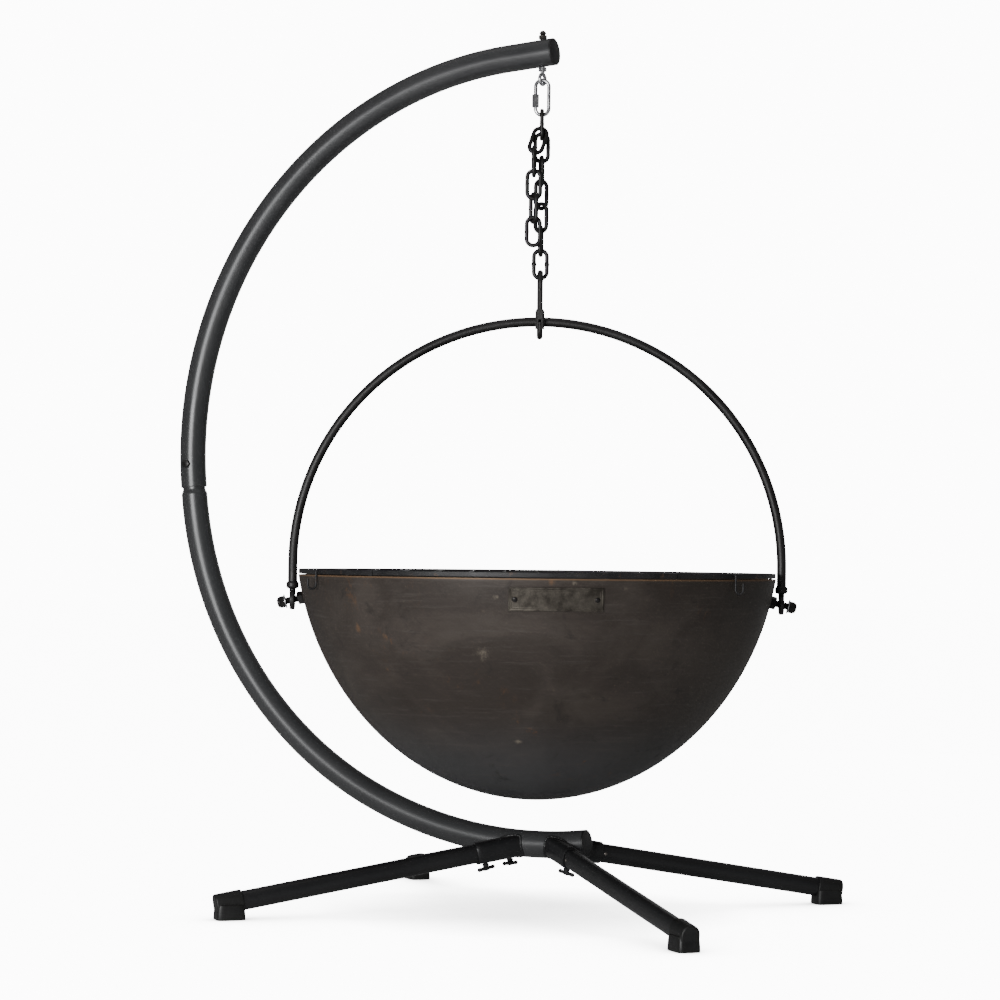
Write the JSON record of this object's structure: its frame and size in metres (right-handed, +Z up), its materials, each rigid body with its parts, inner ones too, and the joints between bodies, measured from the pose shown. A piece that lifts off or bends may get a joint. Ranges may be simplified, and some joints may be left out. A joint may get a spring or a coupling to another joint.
{
  "type": "hanging fire pit with grate",
  "caption": "Round steel fire bowl with a lift-off grate, hung by a bail, hook and chain from a C-shaped tube hoop on splayed legs.",
  "frame": {"origin": "on the ground, in the middle of the whole object", "axes": "+Z up; +X from the back of the hoop towards its open side; the hoop lies in the XZ plane"},
  "size_m": [1.1293, 0.806, 1.4898],
  "materials": {
    "satin_paint": "satin charcoal powder coat",
    "black_paint": "satin black powder coat",
    "black_steel": "heat-proof black coat, lightly worn",
    "chain_steel": "black coated welded chain",
    "raw_steel": "oiled raw steel with light surface rust",
    "plate_steel": "stamped steel plate, darkened",
    "grate_steel": "dark raw steel bar and wire",
    "dark_steel": "dark oiled fasteners",
    "zinc": "bright zinc plate",
    "dark_zinc": "tarnished zinc plate",
    "black_plastic": "moulded black plastic",
    "foot_rubber": "moulded black rubber"
  },
  "bodies": {
    "stand": {"upper_arc_tube": "satin_paint", "lower_arc_tube": "satin_paint", "joint_bolt": "dark_steel", "joint_nut": "dark_steel", "tip_plug": "black_plastic", "hub_plug": "black_plastic", "eye_bolt": "zinc", "eye_bolt_lower_nut": "zinc", "acorn_nut": "dark_zinc", "leg_socket_front_left": "black_paint", "leg_socket_front_right": "black_paint", "leg_socket_back_left": "black_paint", "leg_socket_back_right": "black_paint", "leg_tube_front_left": "black_paint", "leg_tube_front_right": "black_paint", "leg_tube_back_left": "black_paint", "leg_tube_back_right": "black_paint", "foot_cap_front_left": "foot_rubber", "foot_cap_front_right": "foot_rubber", "foot_cap_back_left": "foot_rubber", "foot_cap_back_right": "foot_rubber"},
    "clamp_front_left": {"clamp_screw_front_left": "black_plastic"},
    "clamp_front_right": {"clamp_screw_front_right": "black_plastic"},
    "clamp_back_left": {"clamp_screw_back_left": "black_plastic"},
    "clamp_back_right": {"clamp_screw_back_right": "black_plastic"},
    "quick_link": {"quick_link_body": "zinc"},
    "quick_sleeve": {"quick_link_sleeve": "zinc"},
    "top_link": {"chain_top_link": "chain_steel"},
    "link_1": {"chain_link_1": "chain_steel"},
    "link_2": {"chain_link_2": "chain_steel"},
    "link_3": {"chain_link_3": "chain_steel"},
    "link_4": {"chain_link_4": "chain_steel"},
    "link_5": {"chain_link_5": "chain_steel"},
    "link_6": {"chain_link_6": "chain_steel"},
    "tail_1": {"chain_tail_link_1": "chain_steel"},
    "tail_2": {"chain_tail_link_2": "chain_steel"},
    "tail_3": {"chain_tail_link_3": "chain_steel"},
    "tail_4": {"chain_tail_link_4": "chain_steel"},
    "tail_5": {"chain_tail_link_5": "chain_steel"},
    "hook": {"snap_hook_body": "black_steel", "snap_hook_pin": "black_steel"},
    "gate": {"snap_hook_gate": "black_steel"},
    "bail": {"bail": "black_steel"},
    "bowl": {"bowl": "raw_steel", "nameplate": "plate_steel", "nameplate_rivet_left": "zinc", "nameplate_rivet_right": "zinc", "pivot_bolt_left": "dark_steel", "pivot_bolt_right": "dark_steel", "pivot_inner_nut_left": "dark_steel", "pivot_inner_nut_right": "dark_steel", "pivot_washer_left": "zinc", "pivot_washer_right": "zinc", "pivot_lock_nut_left": "dark_steel", "pivot_lock_nut_right": "dark_steel"},
    "grate": {"grate": "grate_steel"}
  },
  "joints": [
    {"name": "clamp_turn_front_left", "type": "hinge", "parent": "stand", "child": "clamp_front_left", "pos_m": [0.06023, -0.05244, 0.101], "axis": [0.1226, 0.1143, -0.9858], "continuous": true},
    {"name": "clamp_turn_front_right", "type": "hinge", "parent": "stand", "child": "clamp_front_right", "pos_m": [0.21371, -0.05245, 0.10057], "axis": [-0.1219, 0.1137, -0.986], "continuous": true},
    {"name": "clamp_turn_back_left", "type": "hinge", "parent": "stand", "child": "clamp_back_left", "pos_m": [0.06023, 0.05244, 0.101], "axis": [0.1226, -0.1143, -0.9858], "continuous": true},
    {"name": "clamp_turn_back_right", "type": "hinge", "parent": "stand", "child": "clamp_back_right", "pos_m": [0.21371, 0.05245, 0.10057], "axis": [-0.1219, -0.1137, -0.986], "continuous": true},
    {"name": "quick_link_swing", "type": "hinge", "parent": "stand", "child": "quick_link", "pos_m": [0.12946, 0, 1.39831], "axis": [0.1219, 0.9925, 0], "range_deg": [-5, 5]},
    {"name": "quick_sleeve_run", "type": "slide", "parent": "quick_link", "child": "quick_sleeve", "axis": [0, 0, 1], "range_m": [0, 0.012]},
    {"name": "top_link_swing", "type": "hinge", "parent": "quick_link", "child": "top_link", "pos_m": [0.12946, 0, 1.34641], "axis": [0.9135, 0.4067, 0], "range_deg": [-5, 5]},
    {"name": "link_1_twist", "type": "hinge", "parent": "top_link", "child": "link_1", "pos_m": [0.12946, 0, 1.31441], "axis": [0, 0, -1], "range_deg": [-3.5, 5]},
    {"name": "link_2_twist", "type": "hinge", "parent": "link_1", "child": "link_2", "pos_m": [0.12946, 0, 1.27501], "axis": [0, 0, -1], "range_deg": [-5, 5]},
    {"name": "link_3_twist", "type": "hinge", "parent": "link_2", "child": "link_3", "pos_m": [0.12946, 0, 1.23561], "axis": [0, 0, -1], "range_deg": [0, 10]},
    {"name": "link_4_twist", "type": "hinge", "parent": "link_3", "child": "link_4", "pos_m": [0.12946, 0, 1.19621], "axis": [0, 0, -1], "range_deg": [0, 10]},
    {"name": "link_5_twist", "type": "hinge", "parent": "link_4", "child": "link_5", "pos_m": [0.12946, 0, 1.15681], "axis": [0, 0, -1], "range_deg": [0, 10]},
    {"name": "link_6_twist", "type": "hinge", "parent": "link_5", "child": "link_6", "pos_m": [0.12946, 0, 1.11741], "axis": [0, 0, -1], "range_deg": [-5, 5]},
    {"name": "hook_twist", "type": "hinge", "parent": "link_6", "child": "hook", "pos_m": [0.12946, 0, 1.07941], "axis": [0, 0, -1], "range_deg": [-5, 5]},
    {"name": "gate_open", "type": "hinge", "parent": "hook", "child": "gate", "pos_m": [0.13477, -0.01192, 0.99245], "axis": [-0.9135, -0.4067, 0], "range_deg": [0, 10], "stiffness_Nm_per_rad": 0.05},
    {"name": "bail_swing", "type": "hinge", "parent": "hook", "child": "bail", "pos_m": [0.12946, 0, 0.99645], "axis": [0.9135, 0.4067, 0], "range_deg": [-8, 8]},
    {"name": "bowl_tilt", "type": "hinge", "parent": "bail", "child": "bowl", "pos_m": [0.12946, 0, 0.52225], "axis": [0.9135, 0.4067, 0], "range_deg": [-60, 60]},
    {"name": "grate_lift", "type": "slide", "parent": "bowl", "child": "grate", "axis": [0, 0, 1], "range_m": [0, 0.04]},
    {"name": "tail_1_swing", "type": "hinge", "parent": "top_link", "child": "tail_1", "pos_m": [0.13132, -0.00296, 1.32301], "axis": [-0.9135, -0.4067, 0], "range_deg": [0, 12]},
    {"name": "tail_2_twist", "type": "hinge", "parent": "tail_1", "child": "tail_2", "pos_m": [0.12565, -0.02276, 1.28918], "axis": [0, 0, -1], "range_deg": [-4, 4]},
    {"name": "tail_3_twist", "type": "hinge", "parent": "tail_2", "child": "tail_3", "pos_m": [0.12565, -0.02276, 1.24978], "axis": [0, 0, -1], "range_deg": [-4, 4]},
    {"name": "tail_4_twist", "type": "hinge", "parent": "tail_3", "child": "tail_4", "pos_m": [0.12565, -0.02276, 1.21038], "axis": [0, 0, -1], "range_deg": [0, 4]},
    {"name": "tail_5_twist", "type": "hinge", "parent": "tail_4", "child": "tail_5", "pos_m": [0.12565, -0.02276, 1.17098], "axis": [0, 0, 1], "range_deg": [0, 4]}
  ]
}
